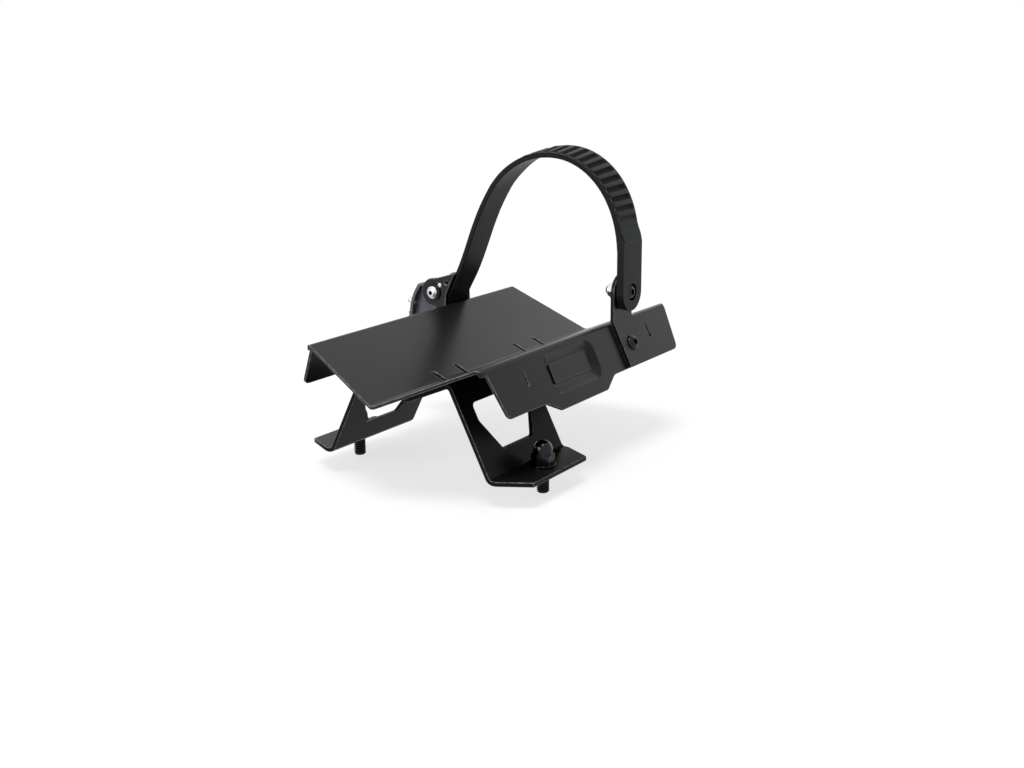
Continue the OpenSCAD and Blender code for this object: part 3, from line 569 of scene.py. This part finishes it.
def parts_of(geom, kind):
    """The vertices, edges or faces among what an operator made."""
    return [g for g in geom if isinstance(g, kind)]


def key_socket(bm, key, socket):
    """Sinks a hexagon of key mm across flats into the round mouth on top of a head."""
    lip = bmesh.ops.extrude_edge_only(bm, edges=open_edges(bm))["geom"]
    for vert in parts_of(lip, bmesh.types.BMVert):
        angle = math.atan2(vert.co.y, vert.co.x)
        reach = key / 2 / math.cos(angle % (math.pi / 3) - math.pi / 6)
        vert.co.xy = reach * math.cos(angle), reach * math.sin(angle)
    walls = bmesh.ops.extrude_edge_only(bm, edges=open_edges(bm))["geom"]
    bmesh.ops.translate(bm, verts=parts_of(walls, bmesh.types.BMVert), vec=(0, 0, -SOCKET_DEPTH))
    for face in closed(bm) + parts_of(walls, bmesh.types.BMFace):
        face[socket] = 1.0


def button_bolt(node, at, axis, length, material, slot, shank, head, rise, key, pitch):
    """A button head bolt: domed head with a sunk hexagon, plain shank, rolled thread at its end."""
    bm = bmesh.new()
    socket = bm.faces.layers.float.new("socket")
    land = key / math.sqrt(3) + SOCKET_LAND
    dome = rise - HEAD_RIM
    ball = (head * head + dome * dome) / (2 * dome)
    arc = [head - (head - land) * i / CROWN_STEPS for i in range(CROWN_STEPS + 1)]
    crown = [(radius, rise - ball + math.sqrt(ball * ball - radius * radius)) for radius in arc]
    run = length - THREAD_LEN
    turned(bm, crown[::-1] + [(head, HEAD_EASE), (head - HEAD_EASE, 0), (shank, 0), (shank, -run),
                              (0, -run)])
    key_socket(bm, key, socket)
    outward(bm)
    joined(bm, threaded(shank, pitch, -length, THREAD_OVERLAP - run))
    seated(bm, at, axis)
    piece(node + ".turned", bm, material, node)


def stud(node, y):
    """A foot stud: threaded below the foot and plain in the foot."""
    bm = threaded(STUD_R, STUD_PITCH, -STUD_DOWN, -0.1)
    neck = bmesh.new()
    turned(neck, STUD_NECK)
    outward(neck)
    joined(bm, neck)
    seated(bm, (0, y, 0), (0, 0, 1))
    piece(node + ".turned", bm, BLACK_ZINC, node)


def insert_ring(node, at, axis, shank, height):
    """The nylon ring in a lock nut's collar, crowned where the bolt has pushed it up."""
    bm = bmesh.new()
    turned(bm, [(shank + out, height + up) for out, up in RING])
    outward(bm)
    seated(bm, at, axis)
    piece(node + ".insert", bm, INSERT_NYLON, node, replaced=False)


eased("wheel_tray", 0.45, POWDER, limit=55)
# the base bracket takes the duller coat, as painted shade
eased("base_bracket", 0.45, SHADE_DULLED_POWDER, limit=45)
eased("strap_bracket", 0.35, POWDER, limit=60, shortest=0.2)
for node, width, material, slot in (
    ("buckle_frame", 0.5, CHEEK_ENAMEL, "buckle_paint"),
    ("ratchet_lever", 0.45, LEVER_SLATE_AND_SHEEN, "lever_black"),
    ("hold_pawl", 0.3, BLACK_ZINC, "black_steel"),
    ("drive_pawl", 0.25, ZINC, "zinc_steel"),
    ("hold_pin", 0.3, ZINC, "zinc_steel"),
    ("drive_pin", 0.3, ZINC, "zinc_steel"),
    ("lever_rivet", 0.5, RIVET, "rivet_metal"),
    ("axle_washer", 0.25, BLACK_ZINC, "black_steel"),
    ("bracket_washer", 0.25, BLACK_ZINC, "black_steel"),
    ("strap_washer", 0.25, ZINC, "zinc_steel"),
    ("foot_washer_near", 0.3, BLACK_ZINC, "black_steel"),
    ("foot_washer_far", 0.3, BLACK_ZINC, "black_steel"),
):
    eased(node, width, material)

badge()
strap()
button_bolt("strap_bolt", STRAP_BOLT_SEAT, (0, -1, 0), 16.7, BLACK_ZINC, "black_steel", **M6)
button_bolt("bracket_bolt", BRACKET_BOLT_SEAT, NEAR_OUT, 14.4, BLACK_ZINC, "black_steel", **M6)
button_bolt("lever_axle", LEVER_AXLE_SEAT, (-1, 0, 0), 38.8, ZINC, "zinc_steel", **M5)
stud("foot_stud_near", -STUD_Y)
stud("foot_stud_far", STUD_Y)
insert_ring("strap_nut", STRAP_NUT_SEAT, (0, 1, 0), M6["shank"], height=6)
insert_ring("axle_nut", AXLE_NUT_SEAT, (1, 0, 0), M5["shank"], height=5)
insert_ring("bracket_nut", BRACKET_NUT_SEAT, NEAR_IN, M6["shank"], height=6)

for node, material, slot in (
    ("foot_nut_near", BLACK_ZINC, "black_steel"),
    ("foot_nut_far", BLACK_ZINC, "black_steel"),
    ("bracket_nut", ZINC, "zinc_steel"),
    ("strap_nut", ZINC, "zinc_steel"),
    ("axle_nut", ZINC, "zinc_steel"),
    ("buckle_nut_upper", ZINC, "zinc_steel"),
    ("buckle_nut_lower", ZINC, "zinc_steel"),
    ("buckle_screw_upper", BLACK_ZINC, "black_steel"),
    ("buckle_screw_lower", BLACK_ZINC, "black_steel"),
):
    eased(node, 0.15, material)


def camera():
    """The photograph's viewpoint, found from the tray's edges: 47.4 mm lens on a 36 mm sensor."""
    forward = Vector((0.80752, 0.53194, -0.25486))
    level = Vector((0.55010, -0.83510, 0.0))
    down = Vector((-0.21283, -0.14020, -0.96698))
    roll = math.radians(0.398)
    right = level * math.cos(roll) + down * math.sin(roll)
    low = down * math.cos(roll) - level * math.sin(roll)
    turn = Matrix((right, -low, -forward)).transposed().to_4x4()
    data = bpy.data.cameras.new("viewpoint")
    data.sensor_width = 36
    data.lens = 47.44
    made = bpy.data.objects.new("viewpoint", data)
    made.matrix_world = Matrix.Translation((-0.6719, -0.4932, 0.2640)) @ turn
    bpy.context.scene.collection.objects.link(made)
    bpy.context.scene.camera = made


def skylight(name, at, strength, angle):
    """A soft round lamp so far off that it lights the whole floor alike."""
    data = bpy.data.lights.new(name, "SUN")
    data.energy = strength
    data.angle = math.radians(angle)
    made = bpy.data.objects.new(name, data)
    made.rotation_euler = Vector(at).to_track_quat("Z", "Y").to_euler()
    bpy.context.scene.collection.objects.link(made)


def softbox(name, at, aim, width, height, power):
    """A soft rectangular lamp that faces a point and stays out of the picture itself."""
    data = bpy.data.lights.new(name, "AREA")
    data.shape = "RECTANGLE"
    data.size = width
    data.size_y = height
    data.energy = power
    made = bpy.data.objects.new(name, data)
    made.location = at
    made.rotation_euler = (Vector(aim) - Vector(at)).to_track_quat("-Z", "Y").to_euler()
    made.visible_camera = False
    bpy.context.scene.collection.objects.link(made)


def seen(tree):
    """1 for what the camera sees, straight on, mirrored or through glass, and 0 for light."""
    path = add(tree, "ShaderNodeLightPath").outputs
    clear = worked(tree, "MAXIMUM", path["Is Camera Ray"], path["Is Transmission Ray"])
    return worked(tree, "MAXIMUM", clear, path["Is Glossy Ray"])


def floor():
    """A plain floor seen as white paper, with the object's shadow left on it."""
    bm = bmesh.new()
    bmesh.ops.create_grid(bm, x_segments=1, y_segments=1, size=30)
    # half a millimetre clear of the studs
    bmesh.ops.translate(bm, verts=bm.verts, vec=(0, 0, cad_box[0].z - 0.5 * MM))
    mesh = bpy.data.meshes.new("floor")
    bm.to_mesh(mesh)
    bm.free()
    made = bpy.data.objects.new("floor", mesh)
    bpy.context.scene.collection.objects.link(made)
    paper, tree, shader = start("white_paper_floor")
    # what the lamps leave short of white
    lift = worked(tree, "MULTIPLY", seen(tree), 0.72)
    tree.links.new(lift, shader.inputs["Emission Strength"])
    shader.inputs["Base Color"].default_value = colour("#949494")
    shader.inputs["Roughness"].default_value = 0.9
    shader.inputs["Specular IOR Level"].default_value = 0.0
    shader.inputs["Emission Color"].default_value = WHITE
    mesh.materials.append(paper)


def white_room():
    """White wherever the room is seen; its light comes from the ceiling, most of it from ahead."""
    world = bpy.data.worlds.new("white_room")
    bpy.context.scene.world = world
    world.use_nodes = True
    tree = world.node_tree
    back = tree.nodes["Background"]
    view = seen(tree)
    coords = add(tree, "ShaderNodeTexCoord").outputs["Generated"]
    height = add(tree, "ShaderNodeSeparateXYZ", {"Vector": coords}).outputs["Z"]
    rise = ranged(tree, height, 0.1, 0.73, 0.22, 0.5, interpolation_type="SMOOTHSTEP")
    ahead = add(tree, "ShaderNodeVectorMath", {0: coords, 1: (0.83, 0.55, 0)},
                operation="DOT_PRODUCT").outputs["Value"]
    side = ranged(tree, ahead, 0.35, 1.0, -0.6, 0.6)
    light = worked(tree, "MULTIPLY", rise, side)
    level = add(tree, "ShaderNodeMix", {"Factor": view, "A": light, "B": 1.0}, data_type="FLOAT")
    tree.links.new(level.outputs["Result"], back.inputs["Strength"])
    # the light that the room throws on the object is a touch warm
    tint = mixed(tree, view, (1.0, 1.0, 0.945, 1), WHITE)
    tree.links.new(tint, back.inputs["Color"])


bpy.context.scene.view_settings.view_transform = "Standard"
camera()
floor()
white_room()
skylight("skylight", at=(-0.35, -0.1, 1.12), strength=1.85, angle=24)
softbox("side_softbox", at=(-0.9, 0.25, 0.35), aim=(0.08, 0.05, 0.08), width=0.6, height=0.4,
        power=4.2)
softbox("end_softbox", at=(0.72, -0.12, 0.28), aim=(0, -0.1, 0.18), width=0.62, height=0.46,
        power=0.3)
